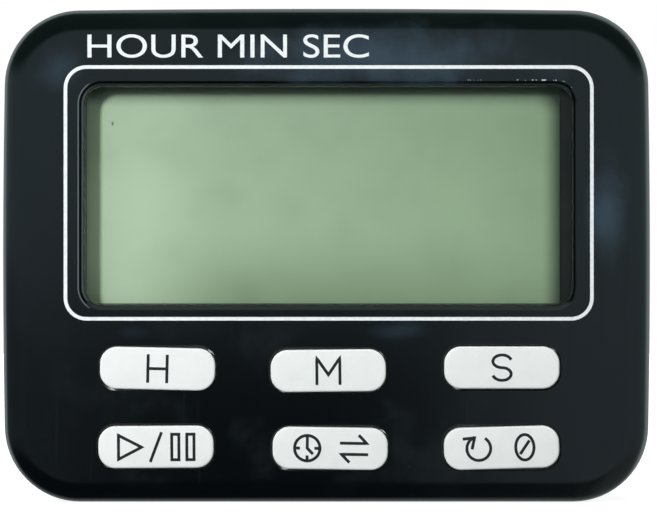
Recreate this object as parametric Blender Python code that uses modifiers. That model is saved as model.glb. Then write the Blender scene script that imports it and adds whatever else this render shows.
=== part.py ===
"""Countdown timer: a moulded case that stands on its flat lower edge, with its face to -Y and +Z up.

All dimensions here are millimetres, and MM turns them into Blender's metres. "Depth" is the distance
behind the front face, so a greater depth lies further along +Y. The origin is at the middle of the
footprint: the buttons stand proud of the face, and the box is centred with them in it.
"""

import math

import bmesh
import bpy
from mathutils import Matrix, Vector

MM = 0.001

# Case
WIDTH = 82.15
HEIGHT = 62.6
THICKNESS = 20.0
CORNER = 9.6
RIM = 3.0  # rounding of the front and back rims
WALL = 1.8
BACK_WALL = 1.6
PARTING = 10.0  # depth of the seam between the two shells
SEAM = 0.2
LIP = 1.2  # height of the locating lip on the front shell
LIP_INSET = 0.95
FIT = 0.15  # clearance round a located part

# Window and display
FACE_SHIFT = 0.27  # the window and the buttons sit this far right of the case's middle
WINDOW_Z = 38.8
WINDOW_WIDTH = 61.5
WINDOW_HEIGHT = 27.5
WINDOW_CORNER = 2.2
LENS_LAP = 1.35  # how far the lens reaches past the opening
GLASS_WIDTH = 63.6
GLASS_FOOT, GLASS_LEDGE, GLASS_TOP = 21.6, 25.1, 54.6
FILM_LEFT, FILM_RIGHT = -30.9, 29.5  # the films stop short of the glass on the right
FILM_FOOT, FILM_TOP = 25.15, 54.0

# Buttons: name, column, row, and the turn that the cap has taken in its hole, in degrees
CAP_WIDTH = 14.6
CAP_HEIGHT = 5.4
CAP_CORNER = 2.15
CAP_PROUD = 0.8
CAP_GAP = 0.3
FLANGE_LAP = 0.8
COLUMN = 21.75
UPPER_ROW, LOWER_ROW = 17.05, 7.15
BUTTONS = (
    ("hour", FACE_SHIFT - COLUMN, UPPER_ROW, 1.3),
    ("minute", FACE_SHIFT - 0.1, UPPER_ROW - 0.15, -0.6),
    ("second", FACE_SHIFT + COLUMN, UPPER_ROW + 0.15, 0.0),
    ("start_stop", FACE_SHIFT - COLUMN, LOWER_ROW, -0.35),
    ("mode", FACE_SHIFT + 0.1, LOWER_ROW - 0.15, 0.9),
    ("clear", FACE_SHIFT + COLUMN, LOWER_ROW, -1.6),
)

# Board and keypad
BOARD_DEPTH = 8.0
BOARD_THICKNESS = 1.0
BOARD_HALF = 31.0
BOARD_FOOT, BOARD_TOP = 2.6, 26.0
BOARD_POST = (10.9, 11.9)
MEMBRANE_FRONT = 7.2
DOME_TIP = 5.7
STEM_TIP = 5.6

# Battery bay: one AAA cell lying across the case
CELL_RADIUS = 5.2
CELL_LENGTH = 44.5
CELL_END = 24.6  # the positive tip
CELL_DEPTH, CELL_Z = 13.1, 53.4
BAY_HALF = 25.5
BAY_FOOT, BAY_TOP = 47.8, 59.0
BAY_FLOOR = 7.6
BAY_WALL = 1.2
DOOR_HALF = 26.3
DOOR_FOOT = 46.5
DOOR_UNDERSIDE = 18.6
DOOR_GAP = 0.2

# Back of the case
MAGNETS = ((-28.0, 38.5), (28.0, 38.5))
MAGNET_RADIUS = 6.0
BUZZER = (-26.0, 21.0)
BUZZER_RADIUS = 10.0
STAND_HALF = 12.8
STAND_FOOT = 4.9
STAND_AXIS_Z = 29.5
STAND_AXIS_DEPTH = 18.3
BARREL_RADIUS = 1.6
CASE_SCREWS = ((-35.2, 54.2), (35.2, 54.2), (-34.5, 8.0), (34.5, 8.0))
SCREW_SEAT = 15.0

FACE_Y = CAP_PROUD / 2 - THICKNESS / 2
ALONG_DEPTH = Matrix.Rotation(-math.pi / 2, 4, "X")  # a solid's +Z end is turned to greater depth
ALONG_X = Matrix.Rotation(math.pi / 2, 4, "Y")

for old in list(bpy.data.objects):
    bpy.data.objects.remove(old)

parts = bpy.data.collections.new("countdown_timer")
cutters = bpy.data.collections.new("cutters")
cutters.hide_render = True
for collection in (parts, cutters):
    bpy.context.scene.collection.children.link(collection)


def at(x, depth, z):
    """A point of the timer, in metres."""
    return Vector((x, FACE_Y + depth, z)) * MM


def finish(name, colour, roughness, metallic=0.0, alpha=1.0):
    found = bpy.data.materials.get(name)
    if found:
        return found
    made = bpy.data.materials.new(name)
    made.use_nodes = True
    shader = made.node_tree.nodes["Principled BSDF"]
    shader.inputs["Base Color"].default_value = (*colour, 1.0)
    shader.inputs["Roughness"].default_value = roughness
    shader.inputs["Metallic"].default_value = metallic
    shader.inputs["Alpha"].default_value = alpha
    return made


BLACK_CASE = ("black_plastic", (0.012, 0.014, 0.014), 0.22)
WHITE_CAP = ("white_plastic", (0.82, 0.84, 0.82), 0.35)
CLEAR = ("clear_plastic", (0.9, 0.92, 0.9), 0.05, 0.0, 0.25)
GLASS = ("display_glass", (0.7, 0.75, 0.7), 0.05, 0.0, 0.35)
POLARIZER = ("polarizer_film", (0.45, 0.52, 0.42), 0.2, 0.0, 0.5)
REFLECTOR = ("reflector_film", (0.45, 0.55, 0.42), 0.4)
HOLDER = ("holder_plastic", (0.05, 0.05, 0.05), 0.5)
SILICONE = ("grey_silicone", (0.55, 0.56, 0.55), 0.6)
CARBON = ("carbon_pill", (0.02, 0.02, 0.02), 0.7)
ZEBRA = ("zebra_rubber", (0.85, 0.55, 0.6), 0.6)
BOARD = ("board_laminate", (0.03, 0.2, 0.07), 0.4)
EPOXY = ("chip_epoxy", (0.01, 0.01, 0.01), 0.3)
NICKEL = ("nickel_plate", (0.7, 0.69, 0.65), 0.3, 1.0)
STEEL = ("zinc_screw", (0.6, 0.6, 0.6), 0.35, 1.0)
BRASS = ("buzzer_brass", (0.75, 0.58, 0.25), 0.3, 1.0)
CERAMIC = ("silvered_ceramic", (0.75, 0.74, 0.7), 0.5)
RED_WIRE = ("red_wire", (0.5, 0.02, 0.02), 0.45)
BLACK_WIRE = ("black_wire", (0.02, 0.02, 0.02), 0.45)
CELL_LABEL = ("cell_label", (0.1, 0.16, 0.3), 0.35)
CHIP_BROWN = ("chip_capacitor", (0.4, 0.28, 0.16), 0.5)
CHIP_BLACK = ("chip_resistor", (0.03, 0.03, 0.03), 0.5)


def add_object(name, bm, origin=(0, 0, 0), look=None):
    """An object from bm, whose vertices are given about origin. With no look it's a cutter or a blank."""
    bmesh.ops.recalc_face_normals(bm, faces=bm.faces)
    mesh = bpy.data.meshes.new(name)
    bm.to_mesh(mesh)
    bm.free()
    obj = bpy.data.objects.new(name, mesh)
    obj.location = origin
    (parts if look else cutters).objects.link(obj)
    if look:
        mesh.materials.append(finish(*look))
        mesh.shade_smooth()
        mesh.set_sharp_from_angle(angle=math.radians(35))
    else:
        obj.hide_render = True
        obj.display_type = "WIRE"
    return obj


def block(name, x, depth, z, look=None, origin=None):
    """A box between two values of x, of depth and of z."""
    low, high = at(x[0], depth[0], z[0]), at(x[1], depth[1], z[1])
    pivot = (low + high) / 2 if origin is None else origin
    bm = bmesh.new()
    bmesh.ops.create_cube(bm, size=1.0)
    bmesh.ops.scale(bm, vec=high - low, verts=bm.verts)
    bmesh.ops.translate(bm, vec=(low + high) / 2 - pivot, verts=bm.verts)
    return add_object(name, bm, pivot, look)


def bevel_edges(bm, edges, width, segments):
    if width:
        bmesh.ops.bevel(
            bm, geom=edges, offset=width * MM, segments=segments, profile=0.5, affect="EDGES"
        )


def rounded_block(name, centre, size, depth, corner, look=None, front=0.0, back=0.0, segments=(6, 3)):
    """A plate of the given width and height whose corners, then front and back rims, are rounded."""
    bm = bmesh.new()
    bmesh.ops.create_cube(bm, size=MM)
    bmesh.ops.scale(bm, vec=(size[0], depth[1] - depth[0], size[1]), verts=bm.verts)
    deep = [e for e in bm.edges if abs(e.verts[0].co.y - e.verts[1].co.y) > MM / 100]
    bevel_edges(bm, deep, corner, segments[0])
    for side, width in ((-1, front), (1, back)):
        rim_y = side * (depth[1] - depth[0]) / 2 * MM
        rim = [e for e in bm.edges if all(abs(v.co.y - rim_y) < MM / 100 for v in e.verts)]
        bevel_edges(bm, rim, width, segments[1])
    return add_object(name, bm, at(centre[0], sum(depth) / 2, centre[1]), look)


def rod(name, start, end, radius, turn, look=None, sides=20, tip_radius=None):
    """A cylinder or cone from start to end, which lie along the axis that turn gives."""
    bm = bmesh.new()
    bmesh.ops.create_cone(
        bm,
        cap_ends=True,
        segments=sides,
        radius1=radius * MM,
        radius2=(radius if tip_radius is None else tip_radius) * MM,
        depth=(end - start).length,
        matrix=turn,
    )
    return add_object(name, bm, (start + end) / 2, look)


def post(name, place, depth, radius, look=None, sides=20, tip_radius=None):
    """A rod along the depth at place, an (x, z) pair."""
    start, end = (at(place[0], d, place[1]) for d in depth)
    return rod(name, start, end, radius, ALONG_DEPTH, look, sides, tip_radius)


def turned(name, profile, origin, turn, look, steps=20):
    """A solid of revolution. The profile lists (radius, height) from its top down to its foot."""
    bm = bmesh.new()
    ring = [bm.verts.new((radius * MM, 0, height * MM)) for radius, height in profile]
    for upper, lower in zip(ring, ring[1:]):
        bm.edges.new((upper, lower))
    mesh = bpy.data.meshes.new(name)
    bm.to_mesh(mesh)
    bm.free()
    mesh.materials.append(finish(*look))
    obj = bpy.data.objects.new(name, mesh)
    obj.matrix_world = Matrix.Translation(origin) @ turn
    parts.objects.link(obj)
    screw = obj.modifiers.new("turn", "SCREW")
    screw.steps = screw.render_steps = steps
    screw.use_merge_vertices = True
    screw.merge_threshold = 0.00001
    return obj


def smooth_route(points, steps=5):
    """Points along a Catmull-Rom curve through the given ones."""
    ends = [2 * points[0] - points[1], *points, 2 * points[-1] - points[-2]]
    route = []
    for a, b, c, d in zip(ends, ends[1:], ends[2:], ends[3:]):
        for step in range(steps):
            t = step / steps
            turn = (2 * a - 5 * b + 4 * c - d) * t * t + (3 * b - a - 3 * c + d) * t**3
            route.append(b + ((c - a) * t + turn) / 2)
    return [*route, points[-1]]


def wire(name, points, radius, look):
    """A round wire through points, with flat ends."""
    curve = bpy.data.curves.new(name, "CURVE")
    curve.dimensions = "3D"
    curve.bevel_depth = radius * MM
    curve.bevel_resolution = 2
    curve.use_fill_caps = True
    spline = curve.splines.new("POLY")
    spline.points.add(len(points) - 1)
    for point, place in zip(spline.points, points):
        point.co = (*place, 1.0)
    curve.materials.append(finish(*look))
    obj = bpy.data.objects.new(name, curve)
    parts.objects.link(obj)
    return obj


def combine(obj, operation, others):
    for other in others:
        modifier = obj.modifiers.new(f"{operation.lower()} {other.name}", "BOOLEAN")
        modifier.operation = operation
        modifier.object = other


def join(obj, *others):
    combine(obj, "UNION", others)


def cut(obj, *others):
    combine(obj, "DIFFERENCE", others)


def case_blank(name, look=None, inset=0.0, depth=(0.0, THICKNESS), front=RIM, back=RIM):
    """The outline of the case, drawn in by inset."""
    size = (WIDTH - 2 * inset, HEIGHT - 2 * inset)
    centre = (0.0, HEIGHT / 2)
    return rounded_block(name, centre, size, depth, CORNER - inset, look, front, back, (7, 4))


def case_cavity(name):
    depth = (WALL, THICKNESS - BACK_WALL)
    return case_blank(name, None, WALL, depth, RIM - WALL, RIM - WALL)


def window_outline(name, look, depth, lap, corner):
    size = (WINDOW_WIDTH + 2 * lap, WINDOW_HEIGHT + 2 * lap)
    return rounded_block(name, (FACE_SHIFT, WINDOW_Z), size, depth, corner, look, segments=(4, 1))


def front_case():
    shell = case_blank("front_case", BLACK_CASE)
    whole = (-WIDTH, WIDTH)
    cut(shell, case_cavity("front_cavity"))
    cut(shell, block("behind_seam", whole, (PARTING - SEAM / 2, 2 * THICKNESS), (-10, HEIGHT + 10)))
    lip = case_blank("lip_outside", None, LIP_INSET, (PARTING - 1.5, PARTING + LIP), 0, 0)
    lip_room = case_blank("lip_inside", None, WALL - 0.05, (PARTING - 3, PARTING + 3), 0, 0)
    cut(lip, lip_room)
    join(shell, lip)
    root = WALL - 0.6  # depth at which the ribs and bosses start, inside the face
    join(shell, block("rib_below", (-29, 29), (root, 5.0), (20.72, 21.3)))
    for i, place in enumerate(CASE_SCREWS):
        join(shell, post(f"front_boss_{i}", place, (root, SCREW_SEAT - 2.4), 2.4))
    for side in (-1, 1):
        join(shell, post(f"board_post_{side}", (side * BOARD_POST[0], BOARD_POST[1]), (root, 7.9), 2.0))
        join(shell, block(f"rib_above_{side}", (side * 15 - 6, side * 15 + 6), (root, 6.0), (55.6, 56.4)))
    cut(shell, window_outline("window_opening", None, (-1, WALL + 0.5), 0.0, WINDOW_CORNER))
    size = (CAP_WIDTH + 2 * CAP_GAP, CAP_HEIGHT + 2 * CAP_GAP)
    corner = CAP_CORNER + CAP_GAP
    for name, x, z, _ in BUTTONS:
        through = (-1, WALL + 0.5)
        cut(shell, rounded_block(f"hole_{name}", (x, z), size, through, corner, segments=(4, 1)))
    for i, place in enumerate(CASE_SCREWS):
        cut(shell, post(f"front_screw_hole_{i}", place, (5.0, THICKNESS), 1.15))
    for side in (-1, 1):
        place = (side * BOARD_POST[0], BOARD_POST[1])
        cut(shell, post(f"post_hole_{side}", place, (3.6, THICKNESS), 0.95))


def battery_bay(shell):
    tub_half = BAY_HALF + BAY_WALL
    join(
        shell,
        block(
            "bay_tub",
            (-tub_half, tub_half),
            (BAY_FLOOR - 0.9, THICKNESS - BACK_WALL + 0.2),
            (BAY_FOOT - BAY_WALL, BAY_TOP + BAY_WALL),
        ),
        block("bay_roof", (-tub_half, tub_half), (12.0, 18.5), (BAY_TOP + 0.5, 61.5)),
        block("door_frame", (-29.6, 29.6), (15.8, 18.6), (45.1, 61.4)),
    )
    cut(shell, block("bay", (-BAY_HALF, BAY_HALF), (BAY_FLOOR, 30), (BAY_FOOT, BAY_TOP)))
    door_room = DOOR_UNDERSIDE - 0.18
    opening = DOOR_HALF + DOOR_GAP
    cut(shell, block("door_opening", (-opening, opening), (door_room, 30), (DOOR_FOOT - DOOR_GAP, 80)))
    for side in (-1, 1):
        groove = sorted((side * 24.6, side * 28.4))
        cut(shell, block(f"groove_{side}", groove, (17.0, door_room + 0.03), (49.7, 80)))
        slot = sorted((side * 25.0, side * 28.0))
        cut(shell, block(f"tab_slot_{side}", slot, (8.6, 9.8), (49.6, 52.4)))


def stand_recess(shell):
    inner = THICKNESS - BACK_WALL + 0.2
    half = STAND_HALF + 0.4
    join(
        shell,
        block("recess_shell", (-half - 1.4, half + 1.4), (16.4, inner), (2.6, 33.4)),
        block("trough_shell", (-half - 3.0, half + 3.0), (14.8, inner), (25.7, 33.3)),
    )
    cut(shell, block("recess", (-half, half), (17.9, 30), (4.4, STAND_AXIS_Z)))
    cut(shell, block("trough", (-half, half), (16.3, 30), (STAND_AXIS_Z - 2.2, STAND_AXIS_Z + 2.1)))
    reach = half + 1.9
    start, end = (at(s * reach, STAND_AXIS_DEPTH, STAND_AXIS_Z) for s in (-1, 1))
    cut(shell, rod("pin_sockets", start, end, 1.0, ALONG_X))


def magnet_pockets(shell):
    for side, place in zip(("left", "right"), MAGNETS):
        join(shell, post(f"pocket_shell_{side}", place, (16.3, 18.6), MAGNET_RADIUS + 1.6, sides=32))
        cut(shell, post(f"pocket_{side}", place, (17.8, 30), MAGNET_RADIUS + 0.2, sides=32))


def buzzer_seat(shell):
    ring = post("buzzer_ring", BUZZER, (17.05, 18.6), BUZZER_RADIUS - 0.8, sides=28)
    cut(ring, post("buzzer_ring_inside", BUZZER, (16, 20), BUZZER_RADIUS - 2.0, sides=28))
    join(shell, ring)
    for i in range(7):
        angle = i * math.pi / 3
        reach = 3.2 if i else 0.0
        place = (BUZZER[0] + reach * math.cos(angle), BUZZER[1] + reach * math.sin(angle))
        cut(shell, post(f"sound_hole_{i}", place, (17.5, 30), 0.7, sides=10))


def rear_case():
    shell = case_blank("rear_case", BLACK_CASE)
    whole = (-WIDTH, WIDTH)
    cut(shell, case_cavity("rear_cavity"))
    cut(shell, block("before_seam", whole, (-THICKNESS, PARTING + SEAM / 2), (-10, HEIGHT + 10)))
    rabbet = (PARTING - 2, PARTING + LIP + 0.2)
    cut(shell, case_blank("rabbet", None, LIP_INSET - FIT, rabbet, 0, 0))
    battery_bay(shell)
    stand_recess(shell)
    magnet_pockets(shell)
    buzzer_seat(shell)
    for i, place in enumerate(CASE_SCREWS):
        join(shell, post(f"rear_boss_{i}", place, (SCREW_SEAT - 2.1, 18.6), 3.1))
        cut(shell, post(f"counterbore_{i}", place, (SCREW_SEAT, 30), 2.1))
        cut(shell, post(f"rear_screw_hole_{i}", place, (5.0, SCREW_SEAT + 1), 1.15))


def display():
    window_outline("window_lens", CLEAR, (WALL + 0.1, 2.9), LENS_LAP, 3.2)
    half = GLASS_WIDTH / 2
    film_width = (FILM_LEFT + FACE_SHIFT, FILM_RIGHT + FACE_SHIFT)
    film_height = (FILM_FOOT, FILM_TOP)
    block("lcd_front_polarizer", film_width, (3.0, 3.2), film_height, POLARIZER)
    block("lcd_front_glass", (-half, half), (3.3, 4.0), (GLASS_FOOT, GLASS_TOP), GLASS)
    block("lcd_rear_glass", (-half, half), (4.1, 4.8), (GLASS_LEDGE, GLASS_TOP), GLASS)
    block("lcd_reflector", film_width, (4.9, 5.1), film_height, REFLECTOR)
    tray = block("lcd_holder", (-half - 0.8, half + 0.8), (3.0, 6.3), (24.8, GLASS_TOP + 0.8), HOLDER)
    cut(tray, block("glass_room", (-half - 0.2, half + 0.2), (2, 5.2), (20, GLASS_TOP + 0.2)))
    block("zebra_strip", (-29.5, 29.5), (4.1, BOARD_DEPTH - 0.1), (22.0, 24.4), ZEBRA)


def button(name, x, z, twist):
    """A cap with a flange behind the face and a stem that meets its dome."""
    cap = rounded_block(
        f"button_{name}",
        (x, z),
        (CAP_WIDTH, CAP_HEIGHT),
        (-CAP_PROUD, WALL + 0.4),
        CAP_CORNER,
        WHITE_CAP,
        front=0.45,
        segments=(5, 2),
    )
    size = (CAP_WIDTH + 2 * FLANGE_LAP, CAP_HEIGHT + 2 * FLANGE_LAP)
    flange = rounded_block(f"flange_{name}", (x, z), size, (WALL + 0.15, 2.75), 2.6, segments=(3, 1))
    stem = block(f"stem_{name}", (x - 2.0, x + 2.0), (2.4, STEM_TIP), (z - 1.2, z + 1.2))
    join(cap, flange, stem)
    for piece in (cap, flange, stem):
        piece.rotation_euler.y = math.radians(twist)
    post(f"contact_pill_{name}", (x, z), (6.3, 7.1), 1.4, CARBON, sides=16)


def keypad():
    """One silicone sheet with a hollow dome under each button."""
    depth = (MEMBRANE_FRONT, BOARD_DEPTH - 0.1)
    sheet = block("keypad_membrane", (-30.0, 30.0), depth, (2.9, 21.4), SILICONE)
    outside, room = (DOME_TIP, MEMBRANE_FRONT + 0.2), (6.2, BOARD_DEPTH + 0.2)
    for name, x, z, _ in BUTTONS:
        join(sheet, post(f"dome_{name}", (x, z), outside, 2.4, tip_radius=3.6, sides=16))
    for name, x, z, _ in BUTTONS:
        cut(sheet, post(f"dome_room_{name}", (x, z), room, 1.7, tip_radius=3.0, sides=16))
    for side in (-1, 1):
        cut(sheet, post(f"membrane_hole_{side}", (side * BOARD_POST[0], BOARD_POST[1]), (6, 10), 2.3))


def pan_screw(name, place, seat, head, shaft, length):
    """A cross-head screw driven from behind, with its head resting at depth seat."""
    (head_radius, head_height), radius = head, shaft
    profile = (
        (0.0, head_height),
        (0.55 * head_radius, head_height),
        (0.9 * head_radius, 0.72 * head_height),
        (head_radius, 0.35 * head_height),
        (head_radius, 0.0),
        (radius, 0.0),
        (radius, 0.8 - length),
        (0.0, -length),
    )
    screw = turned(name, profile, at(place[0], seat, place[1]), ALONG_DEPTH, STEEL)
    arm, across = 0.55 * head_radius, 0.17 * head_radius
    slot = (seat + 0.45 * head_height, seat + head_height + 1)
    (x, z) = place
    cut(screw, block(f"{name}_slot_a", (x - arm, x + arm), slot, (z - across, z + across)))
    cut(screw, block(f"{name}_slot_b", (x - across, x + across), slot, (z - arm, z + arm)))


def board():
    back = BOARD_DEPTH + BOARD_THICKNESS
    width, height = (-BOARD_HALF, BOARD_HALF), (BOARD_FOOT, BOARD_TOP)
    plate = block("circuit_board", width, (BOARD_DEPTH, back), height, BOARD)
    for side, name in ((-1, "left"), (1, "right")):
        place = (side * BOARD_POST[0], BOARD_POST[1])
        cut(plate, post(f"board_hole_{name}", place, (6, 10), 1.0, sides=16))
        pan_screw(f"board_screw_{name}", place, back + 0.1, (1.7, 1.1), 0.8, 5.0)
        x = side * 7.0
        chip = (back + 0.1, back + 1.2)
        block(f"capacitor_{name}", (x - 1.0, x + 1.0), chip, (22.2, 23.4), CHIP_BROWN)
    blob = ((0.0, 1.5), (2.2, 1.4), (3.9, 0.9), (4.8, 0.3), (5.0, 0.0), (0.0, 0.0))
    turned("chip_blob", blob, at(0, back + 0.1, 16.5), ALONG_DEPTH, EPOXY)
    rod("crystal_can", at(15, back + 1.15, 21), at(21, back + 1.15, 21), 1.0, ALONG_X, NICKEL, sides=16)
    block("resistor", (15.0, 17.0), (back + 0.1, back + 0.7), (15.4, 16.6), CHIP_BLACK)


def spring_route():
    """The axis of the tapered contact spring, from its plate to the foot of the cell."""
    start, end, turns, steps = -24.4, -20.4, 4, 11
    points = []
    for i in range(turns * steps + 1):
        share = i / (turns * steps)
        angle = 2 * math.pi * i / steps
        radius = 3.7 - 1.5 * share
        x = start + (end - start) * share
        points.append(at(x, CELL_DEPTH + radius * math.sin(angle), CELL_Z + radius * math.cos(angle)))
    return points


def contact(name, side):
    """A spring-steel plate at one end of the bay, with a solder tab through the bay's end wall."""
    x = sorted((side * 24.9, side * 25.3))
    plate = block(name, x, (9.0, 16.8), (49.4, 57.4), NICKEL)
    tab = sorted((side * 25.0, side * 28.2))
    join(plate, block(f"{name}_tab", tab, (9.0, 9.4), (49.95, 52.05)))


def battery():
    length, radius = CELL_LENGTH, CELL_RADIUS
    profile = (
        (0.0, length),
        (1.7, length),
        (1.9, length - 0.2),
        (1.9, length - 1.0),
        (radius - 0.5, length - 1.0),
        (radius, length - 1.5),
        (radius, 0.5),
        (radius - 0.5, 0.1),
        (3.6, 0.0),
        (0.0, 0.0),
    )
    turned("battery_cell", profile, at(CELL_END - length, CELL_DEPTH, CELL_Z), ALONG_X, CELL_LABEL, 28)
    wire("battery_spring", spring_route(), 0.28, NICKEL)
    contact("battery_contact_negative", -1)
    contact("battery_contact_positive", 1)
    top = ((27.8, 10.1, 51.0), (28.9, 10.7, 47.0), (29.8, 11.2, 38.0))
    route = (*top, (29.2, 11.0, 30.0), (27.6, 9.75, 23.6))
    for name, side, look in (("red", 1, RED_WIRE), ("black", -1, BLACK_WIRE)):
        points = smooth_route([at(side * x, depth, z) for x, depth, z in route])
        wire(f"battery_wire_{name}", points, 0.5, look)


def buzzer():
    post("buzzer_disc", BUZZER, (16.7, 16.95), BUZZER_RADIUS, BRASS, sides=36)
    post("buzzer_ceramic", BUZZER, (16.4, 16.6), 7.0, CERAMIC, sides=28)
    red = ((-16.5, 9.6, 22.4), (-17.2, 12.0, 23.6), (-20.0, 14.6, 23.8), (-23.0, 15.95, 22.6))
    black = ((-14.5, 9.6, 18.6), (-15.6, 12.2, 18.2), (-16.9, 14.8, 18.4), (-17.8, 16.25, 19.2))
    for name, route, look in (("red", red, RED_WIRE), ("black", black, BLACK_WIRE)):
        wire(f"buzzer_wire_{name}", smooth_route([at(*p) for p in route]), 0.35, look)


def battery_door():
    """A slice of the case's own skin over the bay, with a rail along each side."""
    door = case_blank("battery_door", BLACK_CASE)
    side_room = (DOOR_HALF, WIDTH)
    cut(
        door,
        block("door_front", (-WIDTH, WIDTH), (-5, DOOR_UNDERSIDE), (-5, 80)),
        block("door_below", (-WIDTH, WIDTH), (5, 30), (-5, DOOR_FOOT)),
        block("door_right", side_room, (5, 30), (-5, 80)),
        block("door_left", (-side_room[1], -side_room[0]), (5, 30), (-5, 80)),
    )
    for side in (-1, 1):
        web = sorted((side * 24.95, side * 26.15))
        rail = sorted((side * 25.05, side * 28.0))
        join(
            door,
            block(f"web_{side}", web, (17.3, DOOR_UNDERSIDE + 0.3), (50.0, 61.9)),
            block(f"rail_{side}", rail, (17.35, 18.1), (50.1, 61.8)),
        )


def magnets():
    for side, place in zip(("left", "right"), MAGNETS):
        post(f"magnet_{side}", place, (17.9, 19.85), MAGNET_RADIUS, NICKEL, sides=32)


def stand():
    """The fold-out leg. Its origin is on the axis of its barrel."""
    axis = at(0, STAND_AXIS_DEPTH, STAND_AXIS_Z)
    leg = block(
        "stand",
        (-STAND_HALF, STAND_HALF),
        (18.1, 19.85),
        (STAND_FOOT, STAND_AXIS_Z - 0.2),
        BLACK_CASE,
        origin=axis,
    )
    start, end = (at(s * STAND_HALF, STAND_AXIS_DEPTH, STAND_AXIS_Z) for s in (-1, 1))
    pin_start, pin_end = (at(s * 14.7, STAND_AXIS_DEPTH, STAND_AXIS_Z) for s in (-1, 1))
    join(
        leg,
        rod("stand_barrel", start, end, BARREL_RADIUS, ALONG_X),
        rod("stand_pins", pin_start, pin_end, 0.85, ALONG_X, sides=16),
    )
    cut(leg, post("nail_notch", (0.0, STAND_FOOT), (17, 30), 4.5, sides=24))


front_case()
display()
for row in BUTTONS:
    button(*row)
keypad()
board()
battery()
buzzer()
rear_case()
battery_door()
magnets()
stand()
for number, spot in enumerate(CASE_SCREWS, start=1):
    pan_screw(f"case_screw_{number}", spot, SCREW_SEAT + 0.1, (1.8, 1.4), 1.0, 8.5)
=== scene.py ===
"""Looks of the countdown timer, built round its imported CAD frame.

Sizes are millimetres in the CAD's frame, and MM turns them into Blender's metres. "Depth" is the distance
behind the front face. The two shells, the caps, the keypad, the magnets, the stand, the door and the prints
are built here. The other pieces stay as CAD nodes with finished materials.
"""

import math

import bmesh
import bpy
from mathutils import Euler, Matrix, Vector


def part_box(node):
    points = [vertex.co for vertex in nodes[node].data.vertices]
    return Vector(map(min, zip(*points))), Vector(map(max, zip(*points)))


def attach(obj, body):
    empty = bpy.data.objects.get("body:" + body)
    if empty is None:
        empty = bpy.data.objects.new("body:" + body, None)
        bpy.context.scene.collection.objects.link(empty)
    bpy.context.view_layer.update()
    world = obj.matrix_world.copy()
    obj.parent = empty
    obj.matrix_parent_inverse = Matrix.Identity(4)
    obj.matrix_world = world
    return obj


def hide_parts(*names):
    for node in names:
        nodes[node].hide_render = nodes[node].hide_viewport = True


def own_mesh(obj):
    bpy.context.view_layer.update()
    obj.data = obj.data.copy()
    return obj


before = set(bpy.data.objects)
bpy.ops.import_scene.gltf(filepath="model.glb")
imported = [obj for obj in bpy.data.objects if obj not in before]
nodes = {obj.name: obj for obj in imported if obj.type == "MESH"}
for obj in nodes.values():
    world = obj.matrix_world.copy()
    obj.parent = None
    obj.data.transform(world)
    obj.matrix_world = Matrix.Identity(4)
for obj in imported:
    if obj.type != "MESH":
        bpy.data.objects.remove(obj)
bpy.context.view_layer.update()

MM = 0.001
case_low, case_high = (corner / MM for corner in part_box("front_case"))
rear_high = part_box("rear_case")[1] / MM
lens_low, lens_high = (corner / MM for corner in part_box("window_lens"))
film_low, film_high = (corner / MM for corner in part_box("lcd_reflector"))

# Case
FACE_Y = case_low.y
WIDTH = case_high.x - case_low.x
HEIGHT = case_high.z
THICKNESS = rear_high.y - FACE_Y
CORNER = 9.6
CROWN = 0.2  # bulge of the two sides and of the top
RIM = 3.0
WALL = 1.8
BACK_WALL = 1.6
FRONT_EDGE, LIP_EDGE, REAR_EDGE = 9.97, 11.2, 10.03  # depths of the two shells' edges at the seam
LIP_INSET, LIP_FIT = 0.95, 0.15
SEAM_SOFT = 0.16
FRONT_SKIN = WALL - 0.6  # depth inside the front wall from which bosses, posts and ribs rise
BACK_SKIN = 18.6  # depth inside the back wall that bosses and pockets reach
BEHIND, BEYOND = 30, 80  # a depth behind the case and a place past its sides, where cutters end

# Window, and the line printed round it
LENS_LAP = 1.35
WINDOW = ((lens_low.x + lens_high.x) / 2, (lens_low.z + lens_high.z) / 2)
WINDOW_HALF = ((lens_high.x - lens_low.x) / 2 - LENS_LAP, (lens_high.z - lens_low.z) / 2 - LENS_LAP)
WINDOW_CORNER = 2.2
WINDOW_RIM = 0.75
LINE_HALF = (33.42, 16.1)
LINE_RISE = 0.36  # of the line's middle over the window's
LINE_CORNER = 2.85
LINE_WIDTH = 0.45
INK = 0.02  # how far a print stands proud
TITLE_LEFT, TITLE_RIGHT = -30.15, 5.35
TITLE_FOOT, TITLE_HEIGHT = 56.2, 2.96

# Caps
CAP_HALF = (7.26, 2.65)
CAP_CORNER = 2.15
CAP_PROUD = 0.8
CAP_EDGE = 0.25
CAP_CROWN = 0.06
CAP_GAP = 0.2
HOLE_RIM = 0.12
FLANGE_LAP = 0.8
STEM_TIP = 5.6
LEGEND_WIDTH = 0.37
TWIST = {"hour": 1.3, "minute": -0.6, "second": 0.0, "start_stop": -0.35, "mode": 0.9, "clear": -1.6}
SETTLED = {  # how far each cap and its hole sit from their places in the CAD: right and up
    "hour": (0.2, -0.03),
    "minute": (0.06, -0.14),
    "second": (0.07, -0.05),
    "start_stop": (0.0, 0.0),
    "mode": (0.1, -0.03),
    "clear": (0.04, -0.1),
}

# Keypad and board
BOARD_SEAT = 7.9  # depth of the keypad's back and of the board posts' tips
BOARD_POSTS = ((-10.9, 11.9), (10.9, 11.9))
SHEET = (7.2, BOARD_SEAT)
PILL = (6.3, 7.1)
DOME_TIP = 5.7
DOME_RADIUS = 3.55

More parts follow.
